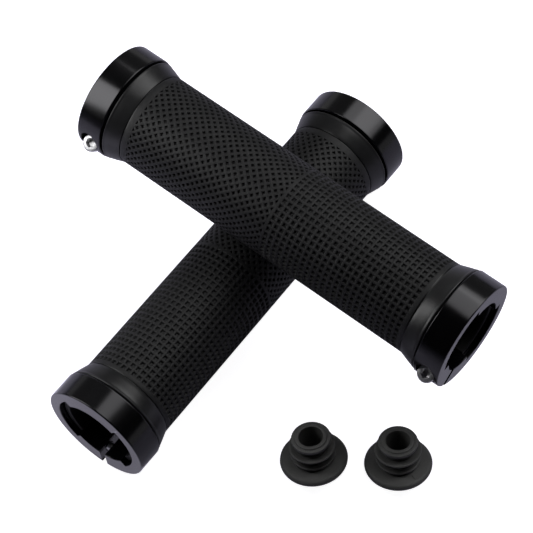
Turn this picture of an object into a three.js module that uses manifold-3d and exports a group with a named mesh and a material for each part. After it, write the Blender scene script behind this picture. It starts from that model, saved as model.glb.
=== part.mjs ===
// A set of bicycle handlebar grips: two lock-on grips laid crosswise, one resting on the other,
// and two ribbed bar end plugs standing on their heads beside them.
// Millimetres, +Z up. +X runs along the lower grip towards its rear end.
// Origin: the centre of the bounding box's bottom face.

import * as THREE from "three";
import { mergeVertices } from "three/addons/utils/BufferGeometryUtils.js";
import Module from "manifold-3d";

const wasm = await Module();
wasm.setup();

// Grip
const GRIP_LENGTH = 130;
const BAR_BORE_R = 11.1;
const SLEEVE_R = 14.73;
const SLEEVE_BORE_R = 13.3;
const FLANGE_R = 16.37;
const FLARE_LENGTH = 5.5;
const GROOVE_WIDTH = 0.3;
const GROOVE_DEPTH = 0.35;
const EDGE_ROUND = 0.3;
const CORE_R = 13.0;
const FRONT_GAP = 0.3;
const REAR_GAP = 0.67;

// Clamp ring, with its split and its pinch screw
const RING_R = 16.7;
const RING_WIDTH = 8.3;
const RING_CHAMFER = 0.35;
const KEYWAY_R = 13.2;
const KEYWAY_HALF_ANGLE = 47;
const TAB_R = 12.9;
const TAB_HALF_ANGLE = 45;
const TAB_SETBACK = 1.8;
const SLIT_WIDTH = 2;
const SCREW_OFFSET = 13.7;
const SCREW_HOLE_R = 1.6;
const SHANK_R = 1.3;
const SHANK_END = -6.5;
const HEAD_R = 2.75;
const HEAD_LENGTH = 3;
const HEAD_SEAT = 5.9;
const HEAD_CHAMFER = 0.3;
const POCKET_R = 3.1;
const POCKET_CLEARANCE = 0.3;
const SOCKET_ACROSS_FLATS = 2.5;
const SOCKET_DEPTH = 1.6;

// End plug: head dome, shoulder, then barbs as [underside height, rim height, rim radius, top height]
const PLUG_HEAD_R = 9.96;
const PLUG_DOME_RISE = 1.35;
const PLUG_RIM_TOP = 3.55;
const PLUG_SHOULDER_R = 6.2;
const PLUG_SHOULDER = 4;
const PLUG_NECK_R = 5;
const PLUG_HEIGHT = 12.84;
const PLUG_TIP_R = 5.81;
const PLUG_TIP_UNDERSIDE = 11.4;
const PLUG_BORE_R = 3.55;
const PLUG_BORE_FLOOR = 4;
const PLUG_BARBS = [
  [4.8, 5.45, 6.6, 6.05],
  [8.1, 8.9, 6.84, 9.5],
];

// Arrangement, with the lower grip's middle at X 0, Y 0
const SLEEVE_CLEARANCE = 0.3;
const UPPER_CENTRE = [12.97, -9.8];
const UPPER_SKEW = 1.52;
const LOWER_SLIT_ANGLE = 172;
const UPPER_SLIT_ANGLE = -133;
const PLUG_PLACES = [
  { name: "left_end_plug", at: [-28.66, -51.54], towards: 64.6 },
  { name: "right_end_plug", at: [-15.16, -71.94], towards: 52.1 },
];
const PLUG_LEAN = 14.6;

const SLEEVE_SIDES = 48;
const RING_SIDES = 48;
const SCREW_SIDES = 16;
const PLUG_SIDES = 32;
const OVERCUT = 5;

const LOOKS = {
  rubber: { color: 0x2b2b2d, roughness: 0.75, metalness: 0 },
  core: { color: 0x1f1f21, roughness: 0.5, metalness: 0 },
  ring: { color: 0x17171a, roughness: 0.28, metalness: 0.9 },
  screw: { color: 0xb9bcc2, roughness: 0.3, metalness: 1 },
  plug: { color: 0x38383a, roughness: 0.6, metalness: 0 },
};

const rad = THREE.MathUtils.degToRad;

// A closed solid that manifold-3d can cut, from a three.js geometry.
function solid(geometry) {
  geometry.deleteAttribute("normal");
  geometry.deleteAttribute("uv");
  const merged = mergeVertices(geometry);
  return new wasm.Manifold(new wasm.Mesh({
    numProp: 3,
    vertProperties: new Float32Array(merged.attributes.position.array),
    triVerts: new Uint32Array(merged.index.array),
  }));
}

function geometryOf(manifold) {
  const mesh = manifold.getMesh();
  const geometry = new THREE.BufferGeometry();
  geometry.setAttribute("position", new THREE.BufferAttribute(mesh.vertProperties, 3));
  geometry.setIndex(new THREE.BufferAttribute(mesh.triVerts, 1));
  geometry.computeVertexNormals();
  return geometry;
}

function named(name, geometry, look) {
  const mesh = new THREE.Mesh(geometry, new THREE.MeshStandardMaterial(LOOKS[look]));
  mesh.name = name;
  return mesh;
}

// Revolves [axial position, radius] pairs about the X axis.
function revolveAboutX(profile, sides) {
  const points = profile.map(([x, r]) => new THREE.Vector2(r, x));
  return new THREE.LatheGeometry(points, sides).rotateZ(-Math.PI / 2);
}

// A cylinder along Y between two heights, offset along Z.
function cylinderAlongY(radius, from, to, sides) {
  const cylinder = new THREE.CylinderGeometry(radius, radius, to - from, sides);
  return cylinder.translate(0, (from + to) / 2, SCREW_OFFSET);
}

// A wedge of an annulus about the X axis, centred on the +Y or -Y side.
function annulusWedge(inner, outer, halfAngle, from, to, side) {
  const middle = side > 0 ? 0 : Math.PI;
  const start = middle - rad(halfAngle);
  const end = middle + rad(halfAngle);
  const shape = new THREE.Shape();
  shape.absarc(0, 0, outer, start, end, false);
  shape.absarc(0, 0, inner, end, start, true);
  const wedge = new THREE.ExtrudeGeometry(shape, {
    depth: to - from,
    bevelEnabled: false,
    curveSegments: RING_SIDES / 4,
  });
  wedge.translate(0, 0, from);
  return wedge.rotateX(Math.PI / 2).rotateZ(Math.PI / 2);
}

function sleeveGeometry() {
  const front = GRIP_LENGTH / 2 - RING_WIDTH - FRONT_GAP;
  const rear = -(GRIP_LENGTH / 2 - RING_WIDTH - REAR_GAP);
  const floor = SLEEVE_R - GROOVE_DEPTH;
  const end = (face, out) => [
    [face, SLEEVE_BORE_R],
    [face, FLANGE_R - EDGE_ROUND],
    [face - out * EDGE_ROUND, FLANGE_R],
    [face - out * FLARE_LENGTH, SLEEVE_R],
    [face - out * FLARE_LENGTH, floor],
    [face - out * (FLARE_LENGTH + GROOVE_WIDTH), floor],
    [face - out * (FLARE_LENGTH + GROOVE_WIDTH), SLEEVE_R],
  ];
  const outline = [...end(rear, -1), ...end(front, 1).reverse()];
  return revolveAboutX([...outline, outline[0]], SLEEVE_SIDES);
}

// The hard core: a tube under the rubber, with two tabs at each end that key the rings.
function coreGeometry() {
  const front = GRIP_LENGTH / 2 - RING_WIDTH - FRONT_GAP;
  const rear = -(GRIP_LENGTH / 2 - RING_WIDTH - REAR_GAP);
  const tabEnd = GRIP_LENGTH / 2 - TAB_SETBACK;
  const tube = [[rear, BAR_BORE_R], [rear, CORE_R], [front, CORE_R], [front, BAR_BORE_R]];
  let core = solid(revolveAboutX([...tube, tube[0]], RING_SIDES));
  for (const side of [1, -1]) {
    core = core.add(solid(annulusWedge(
      BAR_BORE_R, TAB_R, TAB_HALF_ANGLE, front - OVERCUT, tabEnd, side,
    )));
    core = core.add(solid(annulusWedge(
      BAR_BORE_R, TAB_R, TAB_HALF_ANGLE, -tabEnd, rear + OVERCUT, side,
    )));
  }
  return geometryOf(core);
}

// The split clamp ring about the X axis, with its slit on the +Z side and the screw head on +Y.
function ringGeometry() {
  const half = RING_WIDTH / 2;
  const outline = [
    [-half, BAR_BORE_R],
    [-half, RING_R - RING_CHAMFER],
    [-half + RING_CHAMFER, RING_R],
    [half - RING_CHAMFER, RING_R],
    [half, RING_R - RING_CHAMFER],
    [half, BAR_BORE_R],
  ];
  let ring = solid(revolveAboutX([...outline, outline[0]], RING_SIDES));
  for (const side of [1, -1]) {
    const keyway = annulusWedge(
      BAR_BORE_R - 1, KEYWAY_R, KEYWAY_HALF_ANGLE, -half - 1, half + 1, side,
    );
    ring = ring.subtract(solid(keyway));
  }
  const slit = new THREE.BoxGeometry(RING_WIDTH + 2, SLIT_WIDTH, RING_R);
  ring = ring.subtract(solid(slit.translate(0, 0, RING_R)));
  const hole = cylinderAlongY(SCREW_HOLE_R, -RING_R, RING_R, SCREW_SIDES);
  const pocketFloor = HEAD_SEAT - POCKET_CLEARANCE;
  const pocket = cylinderAlongY(POCKET_R, pocketFloor, RING_R, SCREW_SIDES);
  ring = ring.subtract(solid(hole)).subtract(solid(pocket));
  return geometryOf(ring);
}

// The socket-head pinch screw along Y, in the ring's own frame.
function screwGeometry() {
  const headTop = HEAD_SEAT + HEAD_LENGTH;
  const rimR = HEAD_R - HEAD_CHAMFER;
  const shank = cylinderAlongY(SHANK_R, SHANK_END, HEAD_SEAT + 1, SCREW_SIDES);
  const barrel = cylinderAlongY(HEAD_R, HEAD_SEAT, headTop - HEAD_CHAMFER, SCREW_SIDES);
  const rim = new THREE.CylinderGeometry(rimR, HEAD_R, HEAD_CHAMFER, SCREW_SIDES);
  rim.translate(0, headTop - HEAD_CHAMFER / 2, SCREW_OFFSET);
  const socketR = SOCKET_ACROSS_FLATS / Math.sqrt(3);
  const socket = cylinderAlongY(socketR, headTop - SOCKET_DEPTH, headTop + 1, 6);
  const head = solid(barrel).add(solid(rim)).subtract(solid(socket));
  return geometryOf(head.add(solid(shank)));
}

function plugGeometry() {
  const domeR = plugDomeRadius();
  const outline = [[0, 0]];
  for (const r of [PLUG_HEAD_R * 0.35, PLUG_HEAD_R * 0.7, PLUG_HEAD_R - EDGE_ROUND]) {
    outline.push([r, domeR - Math.sqrt(domeR ** 2 - r ** 2)]);
  }
  outline.push([PLUG_HEAD_R, PLUG_DOME_RISE + EDGE_ROUND]);
  outline.push([PLUG_HEAD_R, PLUG_RIM_TOP - EDGE_ROUND]);
  outline.push([PLUG_HEAD_R - EDGE_ROUND, PLUG_RIM_TOP]);
  outline.push([PLUG_SHOULDER_R, PLUG_SHOULDER]);
  outline.push([PLUG_NECK_R, PLUG_SHOULDER]);
  for (const [under, rim, rimR, top] of PLUG_BARBS) {
    outline.push([PLUG_NECK_R, under]);
    outline.push([rimR, rim]);
    outline.push([PLUG_NECK_R, top]);
  }
  outline.push([PLUG_NECK_R, PLUG_TIP_UNDERSIDE]);
  outline.push([PLUG_TIP_R, PLUG_TIP_UNDERSIDE + EDGE_ROUND]);
  outline.push([PLUG_TIP_R, PLUG_HEIGHT - EDGE_ROUND]);
  outline.push([PLUG_TIP_R - EDGE_ROUND, PLUG_HEIGHT]);
  outline.push([PLUG_BORE_R, PLUG_HEIGHT]);
  outline.push([PLUG_BORE_R, PLUG_BORE_FLOOR]);
  outline.push([0, PLUG_BORE_FLOOR]);
  const points = outline.map(([r, z]) => new THREE.Vector2(r, z));
  return new THREE.LatheGeometry(points, PLUG_SIDES).rotateX(Math.PI / 2);
}

function plugDomeRadius() {
  const r = PLUG_HEAD_R - EDGE_ROUND;
  return (r ** 2 + PLUG_DOME_RISE ** 2) / (2 * PLUG_DOME_RISE);
}

// One clamp ring with its screw. flip turns the screw head to the other side of the slit.
function clamp(prefix, ringCentre, flip) {
  const group = new THREE.Group();
  group.add(named(`${prefix}_clamp_ring`, ringGeometry(), "ring"));
  group.add(named(`${prefix}_clamp_screw`, screwGeometry(), "screw"));
  group.rotation.z = flip ? Math.PI : 0;
  group.position.x = ringCentre;
  return group;
}

// A whole grip along X with its front end at +X, turned about its axis so that the rings'
// slits point slitAngle degrees from straight up, towards +Y.
function grip(prefix, slitAngle, flip) {
  const group = new THREE.Group();
  const ringCentre = (GRIP_LENGTH - RING_WIDTH) / 2;
  group.add(named(`${prefix}_rubber_sleeve`, sleeveGeometry(), "rubber"));
  group.add(named(`${prefix}_core`, coreGeometry(), "core"));
  group.add(clamp(`${prefix}_front`, ringCentre, flip));
  group.add(clamp(`${prefix}_rear`, -ringCentre, flip));
  const turned = new THREE.Group();
  group.rotation.x = -rad(slitAngle);
  turned.add(group);
  return turned;
}

// A plug leaning on its domed head: it rolls about the dome's centre.
function leaningPlug({ name, at, towards }) {
  const domeR = plugDomeRadius();
  const plug = named(name, plugGeometry(), "plug");
  plug.position.z = -domeR;
  const pivot = new THREE.Group();
  const direction = new THREE.Vector3(Math.cos(rad(towards)), Math.sin(rad(towards)), 0);
  const hinge = new THREE.Vector3(-direction.y, direction.x, 0);
  pivot.quaternion.setFromAxisAngle(hinge, rad(PLUG_LEAN));
  pivot.position.set(at[0], at[1], domeR);
  pivot.position.addScaledVector(direction, domeR * Math.sin(rad(PLUG_LEAN)));
  pivot.add(plug);
  return pivot;
}

const lower = grip("lower", LOWER_SLIT_ANGLE, true);
lower.rotation.z = Math.PI;
lower.position.z = RING_R;

const upper = grip("upper", UPPER_SLIT_ANGLE, false);
upper.rotation.z = -Math.PI / 2 - rad(UPPER_SKEW);
upper.position.set(...UPPER_CENTRE, RING_R + 2 * SLEEVE_R + SLEEVE_CLEARANCE);

const set = new THREE.Group();
set.add(lower, upper, ...PLUG_PLACES.map(leaningPlug));
set.updateMatrixWorld(true);

const box = new THREE.Box3().setFromObject(set, true);
const middle = box.getCenter(new THREE.Vector3());
set.position.set(-middle.x, -middle.y, -box.min.z);
set.updateMatrixWorld(true);

export default set;
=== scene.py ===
"""Looks for a set of bicycle handlebar grips and bar end plugs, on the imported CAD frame.

Shapes are made in millimetres about each piece's own X axis and placed in the row frame in metres.
An angle about that axis is measured from straight up (+Z) towards +Y.
"""

import math

import bmesh
import bpy
from mathutils import Matrix, Vector


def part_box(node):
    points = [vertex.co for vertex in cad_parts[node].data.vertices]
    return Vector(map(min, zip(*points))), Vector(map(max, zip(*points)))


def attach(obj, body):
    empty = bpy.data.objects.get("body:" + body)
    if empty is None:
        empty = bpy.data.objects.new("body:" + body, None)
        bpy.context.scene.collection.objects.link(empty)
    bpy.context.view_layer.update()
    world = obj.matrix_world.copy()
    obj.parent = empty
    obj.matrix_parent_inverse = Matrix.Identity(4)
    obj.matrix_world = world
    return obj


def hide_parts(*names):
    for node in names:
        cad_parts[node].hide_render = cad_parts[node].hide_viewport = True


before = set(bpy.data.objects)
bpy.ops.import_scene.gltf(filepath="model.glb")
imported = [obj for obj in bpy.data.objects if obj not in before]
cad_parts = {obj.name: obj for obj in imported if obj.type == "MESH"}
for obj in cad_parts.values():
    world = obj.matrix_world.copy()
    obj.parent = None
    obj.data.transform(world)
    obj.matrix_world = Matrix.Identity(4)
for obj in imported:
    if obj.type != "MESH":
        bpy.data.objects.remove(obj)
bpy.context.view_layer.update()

MM = 0.001
TAU = 2 * math.pi

# Edges that bend by more degrees than these stay crisp
CREASE = 32.0
RING_CREASE = 28.0
PLUG_CREASE = 40.0

# Grip
GRIP_END = 65.0
SLEEVE_R = 14.73
SLEEVE_BORE_R = 13.3
FRONT_FACE = 56.4
REAR_FACE = -56.03
BAR_BORE_R = 11.1
CORE_R = 13.0
SLEEVE_SIDES = 112
CORE_SIDES = 128
CORE_ROUNDING = 0.15
# The flare's profile, from the parting groove to the lip: (back from the end face, radius)
FLARE = (
    (5.68, SLEEVE_R - 0.05),
    (5.62, SLEEVE_R - 0.3),
    (5.38, SLEEVE_R - 0.3),
    (5.32, SLEEVE_R + 0.02),
    (5.15, SLEEVE_R + 0.12),
    (4.2, SLEEVE_R + 0.42),
    (2.6, SLEEVE_R + 0.95),
    (1.15, SLEEVE_R + 1.38),
    (0.75, 16.18),
    (0.6, 16.3),
    (0.42, 16.36),
    (0.22, 16.33),
    (0.07, 16.22),
    (0.0, 16.05),
    (0.0, SLEEVE_BORE_R),
)
FLARE_START = 5.85

# Sleeve pattern: square pits, set diamond-wise in the rear half and square in the front half
DIAMOND_START = -48.43
DIAMOND_STEP = 1.2625
DIAMOND_COLUMNS = 39
DIAMOND_ROWS = 38
SQUARE_START = 1.33
SQUARE_STEP = 1.93
SQUARE_COLUMNS = 25
SQUARE_ROWS = 49
# Pit shapes, from the ridges inwards: (share of the cell, depth below the ridges)
DIAMOND_PIT = ((0.74, 0.03), (0.54, 0.1), (0.28, 0.72))
SQUARE_PIT = ((0.82, 0.03), (0.64, 0.12), (0.36, 0.66))
FRONT_BORDER = 0.25
REAR_BORDER = 0.3
SLEEVE_PHASE = {"lower": 3.67, "upper": -0.4}

# Clamp ring and screw
RING_R = 16.7
RING_WIDTH = 8.3
RING_CHAMFER = 0.35
BORE_CHAMFER = 0.2
EDGE_HOLD = 0.06
# Degrees between the ring's sections, beside a keyway's wall, and either side of that wall
STATION_STEP = 2.5
STATION_MARGIN = 1.5
STATION_SWEEP = 0.15
KEYWAY_R = 13.2
KEYWAY_HALF_ANGLE = 47
TAB_R = 12.9
TAB_HALF_ANGLE = 45
TAB_END = 63.2
TAB_ROOT = 1
TAB_BEVEL = 0.15
TAB_STEPS = 30
SLIT_WIDTH = 2.0
SCREW_OFFSET = 13.7
SCREW_HOLE_R = 1.6
POCKET_R = 3.1
POCKET_FLOOR = 5.6
SHANK_R = 1.3
SHANK_ROOT_R = 1.08
THREAD_PITCH = 0.5
SHANK_END = -6.5
HEAD_SEAT = 5.9
HEAD_TOP = 8.9
HEAD_R = 2.75
SOCKET_FLATS = 2.5
SOCKET_DEPTH = 1.6
SOCKET_CONE = 0.5
SOCKET_LEAD = 0.12
SCREW_SIDES = 72
THREAD_STEP = 0.1
THREAD_RUN_OUT = 0.4
POINT_LENGTH = 0.3
KNURL_DEPTH = 0.08

# Arrangement, as in the CAD model: degrees, and millimetres from the lower grip's middle
YAW = {"lower": 180.0, "upper": -91.52}
SLIT = {"lower": 172.0, "upper": -133.0}
SCREW_FLIPPED = {"lower": True, "upper": False}
# Plugs: where the dome's middle is, the direction of the lean, the moulding line's angle
PLUGS = {"left": ((-28.66, -51.54), 64.6, 150.0), "right": ((-15.16, -71.94), 52.1, -70.0)}
PLUG_LEAN = 14.6
PLUG_HEAD_R = 9.96
PLUG_DOME_RISE = 1.35
PLUG_DOME_R = 35.24
PLUG_RIM_TOP = 3.55
PLUG_SHOULDER_R = 6.2
PLUG_SHOULDER = 4.0
PLUG_NECK_R = 4.6
PLUG_TIP_R = 5.81
PLUG_TIP_UNDERSIDE = 11.4
PLUG_HEIGHT = 12.84
PLUG_BORE_R = 3.55
PLUG_BORE_FLOOR = 4.0
PLUG_SIDES = 96
# Fins: rim height, rim radius
PLUG_FINS = ((5.45, 6.6), (8.9, 6.84))

# Camera: the point on the floor that it looks at, from the lower grip's middle, in millimetres
LOOK_AT = (16.49, -0.43)
CAMERA_HEADING = 35.39
CAMERA_ELEVATION = 60.21
CAMERA_ROLL = 1.48
CAMERA_DISTANCE = 611.0
LENS = 133.44

# Studio: floor in millimetres, and how bright floor and surroundings are
FLOOR_R = 4000
FLOOR_MIDDLE_R = 50
FLOOR_DROP = 0.0001
FLOOR_GLOW = 0.95
WORLD_GLOW = 0.98
WORLD_DIM = (0.008, 0.13)
LILAC = (0.86, 0.83, 1.0)


def node_centre(node):
    low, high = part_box(node)
    return (low + high) / 2


LOWER_CENTRE = node_centre("lower_core")
UPPER_CENTRE = node_centre("upper_core")


# ---------------------------------------------------------------- camera

def camera_axes():
    """Right, away along the floor, and up, as the camera sees them, before its roll."""
    heading = math.radians(CAMERA_HEADING)
    away = Vector((math.cos(heading), math.sin(heading), 0))
    right = Vector((math.sin(heading), -math.cos(heading), 0))
    return right, away, Vector((0, 0, 1))


def look_at_point():
    return Vector((LOWER_CENTRE.x + LOOK_AT[0] * MM, LOWER_CENTRE.y + LOOK_AT[1] * MM, 0))


def make_camera():
    right, away, up = camera_axes()
    elevation = math.radians(CAMERA_ELEVATION)
    roll = math.radians(CAMERA_ROLL)
    look = away * math.cos(elevation) - up * math.sin(elevation)
    down = -(away * math.sin(elevation) + up * math.cos(elevation))
    rolled_right = right * math.cos(roll) - down * math.sin(roll)
    rolled_down = right * math.sin(roll) + down * math.cos(roll)
    data = bpy.data.cameras.new("camera")
    data.sensor_width = 36.0
    data.lens = LENS
    data.clip_start = 0.01
    camera = bpy.data.objects.new("camera", data)
    place = look_at_point() - look * CAMERA_DISTANCE * MM
    turn = Matrix((rolled_right, -rolled_down, -look)).transposed().to_4x4()
    camera.matrix_world = Matrix.Translation(place) @ turn
    bpy.context.scene.collection.objects.link(camera)
    bpy.context.scene.camera = camera


# ---------------------------------------------------------------- shapes

class Shell:
    """Vertices and faces of a piece about the X axis, in millimetres."""

    def __init__(self):
        self.verts = []
        self.polar = []
        self.faces = []
        self.flat = []
        self.parts = []
        self.part = 0

    def point(self, x, radius, angle):
        self.verts.append((x, radius * math.sin(angle), radius * math.cos(angle)))
        self.polar.append((x, angle))
        return len(self.verts) - 1

    def ring(self, x, radius, angles):
        sized = radius if callable(radius) else lambda angle: radius
        return [self.point(x, sized(angle), angle) for angle in angles]

    def face(self, corners, flat=False):
        self.faces.append(tuple(corners))
        self.flat.append(flat)
        self.parts.append(self.part)

    def band(self, one, other, closed=True):
        count = len(one)
        for k in range(count if closed else count - 1):
            after = (k + 1) % count
            self.face((one[k], one[after], other[after], other[k]))

    def stitch(self, one, other):
        """Joins two closed rings with different numbers of points."""
        i = j = 0
        while i < len(one) or j < len(other):
            step_one = j >= len(other) or (i < len(one) and (i + 1) * len(other) <= (j + 1) * len(one))
            a, b = one[i % len(one)], other[j % len(other)]
            if step_one:
                self.face((a, one[(i + 1) % len(one)], b))
                i += 1
            else:
                self.face((a, other[(j + 1) % len(other)], b))
                j += 1

    def lathe(self, profile, sides, first=None):
        """Rings for [x, radius] pairs, joined in order, and to first where it is given."""
        angles = even_angles(sides)
        rings = [self.ring(x, radius, angles) for x, radius in profile]
        for one, other in zip(rings, rings[1:]):
            self.band(one, other)
        if first is not None:
            self.stitch(first, rings[0])
        return rings

    def cap(self, ring, x):
        middle = self.point(x, 0, 0)
        for k, corner in enumerate(ring):
            self.face((corner, ring[(k + 1) % len(ring)], middle))

    def pit(self, corners, x, angle, shape):
        """A cell of the net, hollowed out from the ridges between its corners, loop by loop."""
        around = []
        for corner in corners:
            cx, ca = self.polar[corner]
            ca = angle + (ca - angle + math.pi) % TAU - math.pi
            around.append((cx, ca))
        outer = list(corners)
        for share, depth in shape:
            inner = [
                self.point(x + (cx - x) * share, SLEEVE_R - depth, angle + (ca - angle) * share)
                for cx, ca in around
            ]
            self.band(outer, inner)
            outer = inner
        self.face(outer)

    def build(self, name, matrix, materials, crease=CREASE):
        mesh = bpy.data.meshes.new(name)
        mesh.from_pydata(self.verts, [], self.faces)
        mesh.polygons.foreach_set("use_smooth", [not flat for flat in self.flat])
        for material in materials:
            mesh.materials.append(material)
        mesh.polygons.foreach_set("material_index", self.parts)
        mesh.transform(matrix @ Matrix.Scale(MM, 4))
        finish_normals(mesh, crease)
        made = bpy.data.objects.new(name, mesh)
        bpy.context.scene.collection.objects.link(made)
        return made


def finish_normals(mesh, crease):
    """Turns the faces outwards and keeps edges that bend by more than crease degrees crisp."""
    work = bmesh.new()
    work.from_mesh(mesh)
    bmesh.ops.recalc_face_normals(work, faces=work.faces)
    limit = math.radians(crease)
    for edge in work.edges:
        edge.smooth = len(edge.link_faces) == 2 and edge.calc_face_angle(0) < limit
    work.to_mesh(mesh)
    work.free()


def even_angles(count, phase=0.0):
    return [TAU * (k + phase) / count for k in range(count)]


def diamond_zone(shell):
    """The rear half's net, with its cells' diagonals along and round the grip. Returns its end rings."""
    columns = []
    for i in range(DIAMOND_COLUMNS + 1):
        # Counted from the last column, so that the pattern meets the front half the same way.
        phase = 0.5 * ((DIAMOND_COLUMNS - i) % 2)
        angles = even_angles(DIAMOND_ROWS, phase)
        columns.append(shell.ring(DIAMOND_START + i * DIAMOND_STEP, SLEEVE_R, angles))
    for i, column in enumerate(columns):
        shifted = (DIAMOND_COLUMNS - i) % 2
        for j in range(DIAMOND_ROWS):
            beside = (j + shifted) % DIAMOND_ROWS
            corners = [column[j]]
            if i > 0:
                corners.append(columns[i - 1][beside])
            corners.append(column[(j + 1) % DIAMOND_ROWS])
            if i < DIAMOND_COLUMNS:
                corners.append(columns[i + 1][beside])
            angle = TAU * (j + 0.5 + 0.5 * shifted) / DIAMOND_ROWS
            x = DIAMOND_START + i * DIAMOND_STEP
            # The zone's end columns are triangles, half of a cell.
            if i == 0:
                x += DIAMOND_STEP / 3
            if i == DIAMOND_COLUMNS:
                x -= DIAMOND_STEP / 3
            shell.pit(corners, x, angle, DIAMOND_PIT)
    return columns[0], columns[-1]


def square_zone(shell):
    """The front half's net, with its cells' sides along and round the grip. Returns its end rings."""
    columns = [
        shell.ring(SQUARE_START + i * SQUARE_STEP, SLEEVE_R, even_angles(SQUARE_ROWS))
        for i in range(SQUARE_COLUMNS + 1)
    ]
    for i in range(SQUARE_COLUMNS):
        for j in range(SQUARE_ROWS):
            n = (j + 1) % SQUARE_ROWS
            corners = (columns[i][j], columns[i + 1][j], columns[i + 1][n], columns[i][n])
            x = SQUARE_START + (i + 0.5) * SQUARE_STEP
            shell.pit(corners, x, TAU * (j + 0.5) / SQUARE_ROWS, SQUARE_PIT)
    return columns[0], columns[-1]


def make_sleeve(grip, matrix, materials):
    """The pattern and its smooth borders take the first material, the flares and bore the second."""
    shell = Shell()
    rear_edge, rear_middle = diamond_zone(shell)
    front_middle, front_edge = square_zone(shell)
    shell.stitch(rear_middle, front_middle)
    ends = []
    front_x = SQUARE_START + SQUARE_COLUMNS * SQUARE_STEP + FRONT_BORDER
    for edge, x, face, out in (
        (front_edge, front_x, FRONT_FACE, 1),
        (rear_edge, DIAMOND_START - REAR_BORDER, REAR_FACE, -1),
    ):
        shell.part = 0
        smooth = shell.lathe([(x, SLEEVE_R), (face - out * FLARE_START, SLEEVE_R)], SLEEVE_SIDES, edge)
        shell.part = 1
        flange = shell.lathe([(face - out * back, radius) for back, radius in FLARE], SLEEVE_SIDES)
        shell.band(smooth[-1], flange[0])
        ends.append(flange[-1])
    shell.band(*ends)
    turned = matrix @ Matrix.Rotation(-math.radians(SLEEVE_PHASE[grip]), 4, "X")
    return shell.build(f"{grip}_sleeve_rubber", turned, materials)


def add_tab(shell, side, start, end):
    """One keying tab of the core: a bevelled arc from start to end along X."""
    out = 1 if end > start else -1
    section = [
        (start, BAR_BORE_R),
        (end - out * TAB_BEVEL, BAR_BORE_R),
        (end, BAR_BORE_R + TAB_BEVEL),
        (end, TAB_R - TAB_BEVEL),
        (end - out * TAB_BEVEL, TAB_R),
        (start, TAB_R),
    ]
    loops = []
    for k in range(TAB_STEPS + 1):
        angle = side * math.pi / 2 + math.radians(TAB_HALF_ANGLE) * (2 * k / TAB_STEPS - 1)
        loops.append([shell.point(x, radius, angle) for x, radius in section])
    for one, other in zip(loops, loops[1:]):
        shell.band(one, other)
    shell.face(loops[0])
    shell.face(loops[-1])


def make_core(grip, matrix, material):
    shell = Shell()
    rear, front = REAR_FACE + CORE_ROUNDING, FRONT_FACE - CORE_ROUNDING
    outer, inner = CORE_R - CORE_ROUNDING, BAR_BORE_R + CORE_ROUNDING
    tube = [(REAR_FACE, outer), (rear, CORE_R), (front, CORE_R), (FRONT_FACE, outer)]
    tube += [(FRONT_FACE, inner), (front, BAR_BORE_R), (rear, BAR_BORE_R), (REAR_FACE, inner)]
    rings = shell.lathe(tube, CORE_SIDES)
    shell.band(rings[-1], rings[0])
    for side in (1, -1):
        add_tab(shell, side, FRONT_FACE - TAB_ROOT, TAB_END)
        add_tab(shell, side, REAR_FACE + TAB_ROOT, -TAB_END)
    return shell.build(f"{grip}_core_tube", matrix, [material])


def ring_stations():
    """(outer angle, inner angle, inner radius) round the split ring, in degrees from the slit."""
    half = SLIT_WIDTH / 2
    outer_edge = math.degrees(math.asin(half / RING_R))
    inner_edge = math.degrees(math.asin(half / BAR_BORE_R))
    stations = [(outer_edge, inner_edge, BAR_BORE_R)]
    lobe_start = inner_edge + 1
    for side in (90, 270):
        low = side - KEYWAY_HALF_ANGLE
        high = side + KEYWAY_HALF_ANGLE
        for angle in spread(lobe_start, low - STATION_MARGIN, STATION_STEP):
            stations.append((angle, angle, BAR_BORE_R))
        stations.append((low - STATION_SWEEP, low, BAR_BORE_R))
        stations.append((low + STATION_SWEEP, low, KEYWAY_R))
        for angle in spread(low + STATION_MARGIN, high - STATION_MARGIN, STATION_STEP):
            stations.append((angle, angle, KEYWAY_R))
        stations.append((high - STATION_SWEEP, high, KEYWAY_R))
        stations.append((high + STATION_SWEEP, high, BAR_BORE_R))
        lobe_start = high + STATION_STEP
    for angle in spread(high + STATION_MARGIN, 360 - inner_edge - 1, STATION_STEP):
        stations.append((angle, angle, BAR_BORE_R))
    stations.append((360 - outer_edge, 360 - inner_edge, BAR_BORE_R))
    return stations


def spread(start, end, step):
    count = max(1, round((end - start) / step))
    return [start + (end - start) * k / count for k in range(count + 1)]


def rounded_edge(face, radius, rounding, steps=4):
    """Points from the flat end at x = face, round its edge and onto the cylinder of that radius.

    The rounding is negative at the edge of a bore. The first and last points lie a little way out
    on the flat and on the cylinder, so that both stay true right up to the edge.
    """
    size = abs(rounding)
    centre = radius - rounding
    points = [(face, centre - math.copysign(EDGE_HOLD, rounding))]
    for k in range(steps + 1):
        turn = math.pi / 2 * k / steps
        points.append((face - size * (1 - math.cos(turn)), centre + rounding * math.sin(turn)))
    points.append((face - size - EDGE_HOLD, radius))
    return points


def ring_shell():
    shell = Shell()
    half = RING_WIDTH / 2
    rim = rounded_edge(half, RING_R, RING_CHAMFER)
    loops = []
    for outer, inner, bore in ring_stations():
        wide, narrow = math.radians(outer), math.radians(inner)
        lip = rounded_edge(half, bore, -BORE_CHAMFER)
        section = [(-x, radius, wide) for x, radius in rim]
        section += [(x, radius, wide) for x, radius in reversed(rim)]
        section += [(x, radius, narrow) for x, radius in lip]
        section += [(-x, radius, narrow) for x, radius in reversed(lip)]
        loops.append([shell.point(x, radius, angle) for x, radius, angle in section])
    for one, other in zip(loops, loops[1:]):
        shell.band(one, other)
    shell.face(loops[0])
    shell.face(loops[-1])
    return shell


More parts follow.
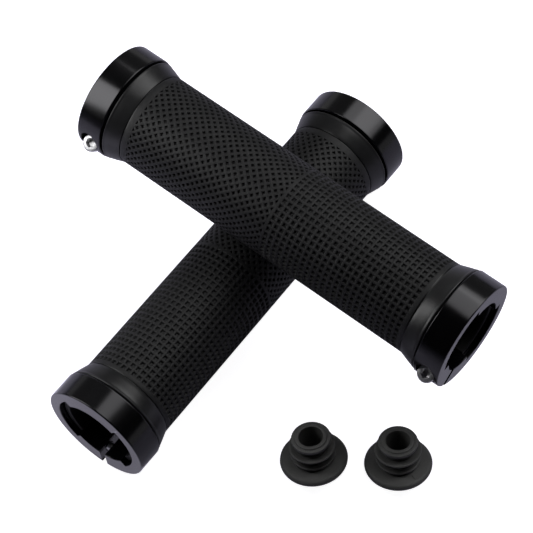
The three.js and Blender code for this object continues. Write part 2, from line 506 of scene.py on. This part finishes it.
def cutter(radius, start, end):
    """A cylinder along Y at the screw's offset, to cut a ring with."""
    shell = Shell()
    rings = shell.lathe([(start, radius), (end, radius)], 48)
    shell.cap(rings[0], start)
    shell.cap(rings[1], end)
    return shell.build("cutter", screw_turn(), [])


def screw_turn():
    return Matrix.Translation((0, 0, SCREW_OFFSET * MM)) @ Matrix.Rotation(math.pi / 2, 4, "Z")


def cut(made, tools):
    for tool in tools:
        modifier = made.modifiers.new("cut", "BOOLEAN")
        modifier.operation = "DIFFERENCE"
        modifier.solver = "EXACT"
        modifier.object = tool
    depsgraph = bpy.context.evaluated_depsgraph_get()
    mesh = bpy.data.meshes.new_from_object(made.evaluated_get(depsgraph))
    made.modifiers.clear()
    made.data = mesh
    for tool in tools:
        bpy.data.objects.remove(tool)


def make_ring(name, matrix, material):
    made = ring_shell().build(name, Matrix.Identity(4), [material])
    hole = cutter(SCREW_HOLE_R, -RING_R, RING_R)
    pocket = cutter(POCKET_R, POCKET_FLOOR, RING_R)
    cut(made, [hole, pocket])
    made.data.transform(matrix)
    finish_normals(made.data, RING_CREASE)
    return made


def hexagon(flats, angle):
    """The radius at that angle of a hexagon of that size across its flats."""
    step = math.radians(60)
    return flats / 2 / math.cos((angle % step) - step / 2)


def make_screw(name, matrix, material):
    shell = Shell()
    angles = even_angles(SCREW_SIDES)
    tooth = {angle: HEAD_R - KNURL_DEPTH * (k % 2) for k, angle in enumerate(angles)}
    profile = [(SHANK_END, SHANK_ROOT_R - POINT_LENGTH)]
    steps = int((HEAD_SEAT - SHANK_END - THREAD_RUN_OUT) / THREAD_STEP)
    for k in range(steps + 1):
        x = SHANK_END + POINT_LENGTH + k * THREAD_STEP
        profile.append((x, lambda a, x=x: thread_radius(x, a)))
    profile += [
        (HEAD_SEAT, SHANK_R),
        (HEAD_SEAT, HEAD_R - 0.2),
        (HEAD_SEAT + 0.15, tooth.get),
        (HEAD_TOP - 0.4, tooth.get),
        (HEAD_TOP - 0.22, HEAD_R - 0.12),
        (HEAD_TOP - 0.05, HEAD_R - 0.28),
        (HEAD_TOP, HEAD_R - 0.42),
        (HEAD_TOP, lambda a: hexagon(SOCKET_FLATS + 2 * SOCKET_LEAD, a)),
        (HEAD_TOP - SOCKET_LEAD, lambda a: hexagon(SOCKET_FLATS, a)),
        (HEAD_TOP - SOCKET_DEPTH, lambda a: hexagon(SOCKET_FLATS, a)),
    ]
    rings = [shell.ring(x, radius, angles) for x, radius in profile]
    for one, other in zip(rings, rings[1:]):
        shell.band(one, other)
    shell.cap(rings[0], SHANK_END)
    shell.cap(rings[-1], HEAD_TOP - SOCKET_DEPTH - SOCKET_CONE)
    return shell.build(name, matrix @ screw_turn(), [material])


def thread_radius(x, angle):
    turn = (x / THREAD_PITCH - angle / TAU) % 1
    crest = 1 - abs(2 * turn - 1)
    return SHANK_ROOT_R + (SHANK_R - SHANK_ROOT_R) * min(1, crest * 1.3)


def plug_profile():
    """(height, radius) from the domed underside, round the head, up the fins and into the bore."""
    profile = [(height_of_dome(r), r) for r in (1.5, 3, 4.5, 6, 7.5, 8.6)]
    middle = (PLUG_DOME_RISE + PLUG_RIM_TOP) / 2
    for turn in range(-80, 81, 16):
        swing = math.radians(turn)
        bulge = 0.95 if turn < 0 else 1.7
        radius = PLUG_HEAD_R - bulge * (1 - math.cos(swing))
        profile.append((middle + (PLUG_RIM_TOP - middle) * math.sin(swing), radius))
    profile += [(PLUG_SHOULDER, PLUG_SHOULDER_R), (PLUG_SHOULDER + 0.1, PLUG_NECK_R + 0.4)]
    profile += [(PLUG_SHOULDER + 0.4, PLUG_NECK_R)]
    for rim, rim_r in PLUG_FINS:
        profile += [
            (rim - 0.6, PLUG_NECK_R),
            (rim - 0.55, rim_r - 0.5),
            (rim - 0.42, rim_r - 0.12),
            (rim - 0.2, rim_r),
            (rim, rim_r - 0.02),
            (rim + 0.13, rim_r - 0.14),
            (rim + 0.18, rim_r - 0.45),
            (rim + 0.14, PLUG_NECK_R + 0.6),
            (rim, PLUG_NECK_R),
        ]
    tip, low, top = PLUG_TIP_R, PLUG_TIP_UNDERSIDE, PLUG_HEIGHT
    profile += [(low, PLUG_NECK_R), (low + 0.05, tip - 0.3), (low + 0.2, tip - 0.06), (low + 0.4, tip)]
    profile += [(top - 0.75, tip), (top - 0.5, tip - 0.12), (top - 0.38, tip - 0.4), (top - 0.38, tip - 0.8)]
    profile += [(top - 0.36, tip - 1.0), (top - 0.1, tip - 1.12), (top, tip - 1.25)]
    profile += [(top, PLUG_BORE_R + 0.25), (top - 0.07, PLUG_BORE_R + 0.07), (top - 0.25, PLUG_BORE_R)]
    profile += [(PLUG_BORE_FLOOR + 0.2, PLUG_BORE_R), (PLUG_BORE_FLOOR, PLUG_BORE_R - 0.2)]
    return profile


def height_of_dome(r):
    """How far the head's underside has risen at radius r."""
    return PLUG_DOME_R - math.sqrt(PLUG_DOME_R**2 - r**2)


def make_plug(side, material):
    (at_x, at_y), towards, seam = PLUGS[side]
    shell = Shell()
    rings = shell.lathe(plug_profile(), PLUG_SIDES)
    shell.cap(rings[0], 0)
    shell.cap(rings[-1], PLUG_BORE_FLOOR)
    add_seam(shell, math.radians(seam))
    heading, lean = math.radians(towards), math.radians(PLUG_LEAN)
    direction = Vector((math.cos(heading), math.sin(heading), 0))
    hinge = Vector((-direction.y, direction.x, 0))
    pivot = Vector((LOWER_CENTRE.x + at_x * MM, LOWER_CENTRE.y + at_y * MM, PLUG_DOME_R * MM))
    pivot += direction * PLUG_DOME_R * MM * math.sin(lean)
    upright = Matrix.Rotation(-math.pi / 2, 4, "Y")
    matrix = (
        Matrix.Translation(pivot)
        @ Matrix.Rotation(lean, 4, hinge)
        @ Matrix.Translation((0, 0, -PLUG_DOME_R * MM))
        @ upright
    )
    return shell.build(f"{side}_plug_body", matrix, [material], PLUG_CREASE)


def add_seam(shell, angle):
    """The fine moulding line across the top of the head, from the neck to the rim."""
    ends = ((PLUG_SHOULDER_R, PLUG_SHOULDER), (PLUG_HEAD_R - 1.5, PLUG_RIM_TOP))
    corners = []
    for rise in (-0.1, 0.12):
        for radius, height in ends:
            for side in (-0.14, 0.14):
                corners.append(shell.point(height + rise, radius, angle + side / radius))
    a, b, c, d, e, f, g, h = corners
    for face in ((a, b, d, c), (e, f, h, g), (a, b, f, e), (c, d, h, g), (a, c, g, e), (b, d, h, f)):
        shell.face(face, flat=True)


# ---------------------------------------------------------------- materials

def new_material(name):
    material = bpy.data.materials.new(name)
    material.use_nodes = True
    nodes = material.node_tree.nodes
    shader = nodes["Principled BSDF"]
    return material, nodes, material.node_tree.links, shader


def noise(nodes, links, scale, detail, roughness=0.6):
    place = nodes.new("ShaderNodeTexCoord")
    made = nodes.new("ShaderNodeTexNoise")
    made.inputs["Scale"].default_value = scale
    made.inputs["Detail"].default_value = detail
    made.inputs["Roughness"].default_value = roughness
    links.new(place.outputs["Object"], made.inputs["Vector"])
    return made.outputs["Fac"]


def ramp(nodes, links, source, stops):
    made = nodes.new("ShaderNodeValToRGB")
    made.color_ramp.elements[0].position = stops[0][0]
    made.color_ramp.elements[0].color = (*stops[0][1], 1)
    made.color_ramp.elements[1].position = stops[1][0]
    made.color_ramp.elements[1].color = (*stops[1][1], 1)
    links.new(source, made.inputs["Fac"])
    return made.outputs["Color"]


def remap(nodes, links, source, low, high):
    made = nodes.new("ShaderNodeMapRange")
    made.inputs["From Min"].default_value = 0.3
    made.inputs["From Max"].default_value = 0.7
    made.inputs["To Min"].default_value = low
    made.inputs["To Max"].default_value = high
    links.new(source, made.inputs["Value"])
    return made.outputs["Result"]


def bump(nodes, links, shader, source, strength, distance):
    made = nodes.new("ShaderNodeBump")
    made.inputs["Strength"].default_value = strength
    made.inputs["Distance"].default_value = distance
    links.new(source, made.inputs["Height"])
    links.new(made.outputs["Normal"], shader.inputs["Normal"])


def rubber_material(name, gloss, roughness):
    material, nodes, links, shader = new_material(name)
    broad = noise(nodes, links, 90, 3)
    fine = noise(nodes, links, 2600, 4)
    links.new(
        ramp(nodes, links, broad, ((0.35, (0.009, 0.009, 0.0096)), (0.7, (0.013, 0.013, 0.0138)))),
        shader.inputs["Base Color"],
    )
    shader.inputs["Specular IOR Level"].default_value = gloss
    links.new(remap(nodes, links, fine, *roughness), shader.inputs["Roughness"])
    bump(nodes, links, shader, fine, 0.25, 0.00006)
    return material


def core_material():
    material, nodes, links, shader = new_material("core_nylon")
    fine = noise(nodes, links, 1800, 3)
    links.new(
        ramp(nodes, links, fine, ((0.3, (0.003, 0.003, 0.0034)), (0.7, (0.006, 0.006, 0.0065)))),
        shader.inputs["Base Color"],
    )
    shader.inputs["Specular IOR Level"].default_value = 0.2
    links.new(remap(nodes, links, fine, 0.42, 0.56), shader.inputs["Roughness"])
    bump(nodes, links, shader, fine, 0.2, 0.00004)
    return material


def ring_material():
    material, nodes, links, shader = new_material("ring_black_anodised")
    broad = noise(nodes, links, 120, 2)
    fine = noise(nodes, links, 5200, 3)
    links.new(
        ramp(nodes, links, broad, ((0.3, (0.0007, 0.0007, 0.0009)), (0.7, (0.0014, 0.0014, 0.0018)))),
        shader.inputs["Base Color"],
    )
    shader.inputs["IOR"].default_value = 1.45
    shader.inputs["Specular Tint"].default_value = (0.97, 0.96, 1.0, 1)
    shader.inputs["Sheen Weight"].default_value = 0.03
    shader.inputs["Sheen Roughness"].default_value = 0.3
    shader.inputs["Sheen Tint"].default_value = (0.8, 0.78, 1.0, 1)
    links.new(remap(nodes, links, fine, 0.15, 0.21), shader.inputs["Roughness"])
    bump(nodes, links, shader, fine, 0.04, 0.00002)
    return material


def screw_material():
    material, nodes, links, shader = new_material("screw_plated_steel")
    fine = noise(nodes, links, 3000, 4)
    links.new(
        ramp(nodes, links, fine, ((0.3, (0.52, 0.52, 0.53)), (0.7, (0.72, 0.72, 0.73)))),
        shader.inputs["Base Color"],
    )
    shader.inputs["Metallic"].default_value = 1.0
    links.new(remap(nodes, links, fine, 0.36, 0.5), shader.inputs["Roughness"])
    bump(nodes, links, shader, fine, 0.1, 0.00003)
    return material


def plug_material():
    material, nodes, links, shader = new_material("plug_plastic")
    broad = noise(nodes, links, 160, 3)
    fine = noise(nodes, links, 2200, 4)
    links.new(
        ramp(nodes, links, broad, ((0.3, (0.045, 0.045, 0.044)), (0.7, (0.058, 0.058, 0.057)))),
        shader.inputs["Base Color"],
    )
    links.new(remap(nodes, links, fine, 0.5, 0.65), shader.inputs["Roughness"])
    bump(nodes, links, shader, fine, 0.2, 0.00005)
    return material


# ---------------------------------------------------------------- stage

def make_floor():
    material, nodes, links, shader = new_material("pale_floor")
    shade = noise(nodes, links, 6, 2)
    links.new(
        ramp(nodes, links, shade, ((0.3, (0.61, 0.59, 0.74)), (0.7, (0.65, 0.63, 0.78)))),
        shader.inputs["Base Color"],
    )
    shader.inputs["Roughness"].default_value = 1.0
    shader.inputs["Specular IOR Level"].default_value = 0.0
    # The camera sees white paper; the pieces see the softer, cooler paper that lights them.
    glow = nodes.new("ShaderNodeEmission")
    glow.inputs["Strength"].default_value = FLOOR_GLOW
    rays = nodes.new("ShaderNodeLightPath")
    both = nodes.new("ShaderNodeAddShader")
    mix = nodes.new("ShaderNodeMixShader")
    links.new(shader.outputs["BSDF"], both.inputs[0])
    links.new(glow.outputs["Emission"], both.inputs[1])
    links.new(rays.outputs["Is Camera Ray"], mix.inputs["Fac"])
    links.new(shader.outputs["BSDF"], mix.inputs[1])
    links.new(both.outputs["Shader"], mix.inputs[2])
    links.new(mix.outputs["Shader"], nodes["Material Output"].inputs["Surface"])
    shell = Shell()
    rings = shell.lathe([(0, FLOOR_MIDDLE_R), (0, FLOOR_R)], 96)
    shell.cap(rings[0], 0)
    place = Matrix.Translation((0, 0, -FLOOR_DROP)) @ Matrix.Rotation(-math.pi / 2, 4, "Y")
    floor = shell.build("floor", place, [material])


def softbox(name, place, size, radiance, aim=(0, 0, 0.03), tint=(1, 1, 1)):
    """A panel of that radiance. Place and aim are metres right, away and up from what is looked at."""
    data = bpy.data.lights.new(name, "AREA")
    data.shape = "RECTANGLE"
    data.size, data.size_y = size
    data.color = tint
    data.energy = radiance * math.pi * size[0] * size[1]
    lamp = bpy.data.objects.new(name, data)
    lamp.visible_camera = False
    here = in_studio(place)
    back = (here - in_studio(aim)).normalized()
    across = camera_axes()[0] if aim[:2] == place[:2] else Vector((0, 0, 1)).cross(back).normalized()
    facing = Matrix((across, back.cross(across), back)).transposed().to_4x4()
    lamp.matrix_world = Matrix.Translation(here) @ facing
    bpy.context.scene.collection.objects.link(lamp)


def in_studio(place):
    axes = camera_axes()
    return look_at_point() + sum((axis * part for axis, part in zip(axes, place)), Vector())


def make_lights():
    """Name, place, size in metres and radiance of each panel."""
    softbox("overhead_softbox", (0.325, 0.225, 0.52), (0.71, 0.51), 2.1, aim=(0.325, 0.225, 0))
    softbox("overhead_middle", (0.34, 0.225, 0.51), (0.38, 0.28), 1.3, aim=(0.34, 0.225, 0))
    softbox("left_strip", (-0.167, -0.01, 0.145), (0.08, 0.19), 4.6)
    softbox("back_card", (-0.2, 0.85, 0.1), (1.0, 0.3), 0.3)
    softbox("right_card", (0.8, -0.12, 0.1), (0.6, 0.26), 0.35)
    softbox("floor_card", (-0.075, -0.075, 0.001), (0.09, 0.09), 0.44, (-0.075, -0.075, 0.1), LILAC)
    make_world()


def make_world():
    """Black behind the camera and a little paler in front of it. The camera itself sees white."""
    world = bpy.data.worlds.new("studio")
    bpy.context.scene.world = world
    world.use_nodes = True
    nodes, links = world.node_tree.nodes, world.node_tree.links
    place = nodes.new("ShaderNodeTexCoord")
    facing = nodes.new("ShaderNodeVectorMath")
    facing.operation = "DOT_PRODUCT"
    facing.inputs[1].default_value = camera_axes()[1]
    level = nodes.new("ShaderNodeMapRange")
    level.inputs["From Min"].default_value = 0.0
    level.inputs["From Max"].default_value = 0.7
    level.inputs["To Min"].default_value = WORLD_DIM[0]
    level.inputs["To Max"].default_value = WORLD_DIM[1]
    links.new(place.outputs["Generated"], facing.inputs[0])
    links.new(facing.outputs["Value"], level.inputs["Value"])
    dim = nodes["Background"]
    links.new(level.outputs["Result"], dim.inputs["Strength"])
    dim.inputs["Color"].default_value = (1, 1, 1, 1)
    pale = nodes.new("ShaderNodeBackground")
    pale.inputs["Strength"].default_value = WORLD_GLOW
    rays = nodes.new("ShaderNodeLightPath")
    mix = nodes.new("ShaderNodeMixShader")
    links.new(rays.outputs["Is Camera Ray"], mix.inputs["Fac"])
    links.new(dim.outputs["Background"], mix.inputs[1])
    links.new(pale.outputs["Background"], mix.inputs[2])
    links.new(mix.outputs["Shader"], nodes["World Output"].inputs["Surface"])


# ---------------------------------------------------------------- the set

def ready(made, body, node):
    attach(made, body)
    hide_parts(node)


def make_grip(grip, centre, materials):
    place = Matrix.Translation(centre) @ Matrix.Rotation(math.radians(YAW[grip]), 4, "Z")
    keyed = place @ Matrix.Rotation(-math.radians(SLIT[grip]), 4, "X")
    body = f"{grip}_grip"
    sleeve = make_sleeve(grip, place, materials["rubber"])
    ready(sleeve, body, f"{grip}_rubber_sleeve")
    core = make_core(grip, keyed, materials["core"])
    ready(core, body, f"{grip}_core")
    for end, side in (("front", 1), ("rear", -1)):
        prefix = f"{grip}_{end}"
        offset = side * (GRIP_END - RING_WIDTH / 2) * MM
        at_ring = keyed @ Matrix.Translation((offset, 0, 0))
        if SCREW_FLIPPED[grip]:
            at_ring = at_ring @ Matrix.Rotation(math.pi, 4, "Z")
        ring = make_ring(f"{prefix}_ring_body", at_ring, materials["ring"])
        ready(ring, f"{prefix}_ring", f"{prefix}_clamp_ring")
        screw = make_screw(f"{prefix}_screw_body", at_ring, materials["screw"])
        ready(screw, f"{prefix}_screw", f"{prefix}_clamp_screw")


def main():
    make_camera()
    materials = {
        "rubber": (
            rubber_material("sleeve_rubber_patterned", 0.28, (0.5, 0.62)),
            rubber_material("sleeve_rubber_smooth", 0.36, (0.28, 0.38)),
        ),
        "core": core_material(),
        "ring": ring_material(),
        "screw": screw_material(),
    }
    make_grip("lower", LOWER_CENTRE, materials)
    make_grip("upper", UPPER_CENTRE, materials)
    plastic = plug_material()
    for side in PLUGS:
        plug = make_plug(side, plastic)
        ready(plug, f"{side}_plug", f"{side}_end_plug")
    make_floor()
    make_lights()
    view = bpy.context.scene.view_settings
    view.view_transform = "Standard"
    view.look = "None"


main()
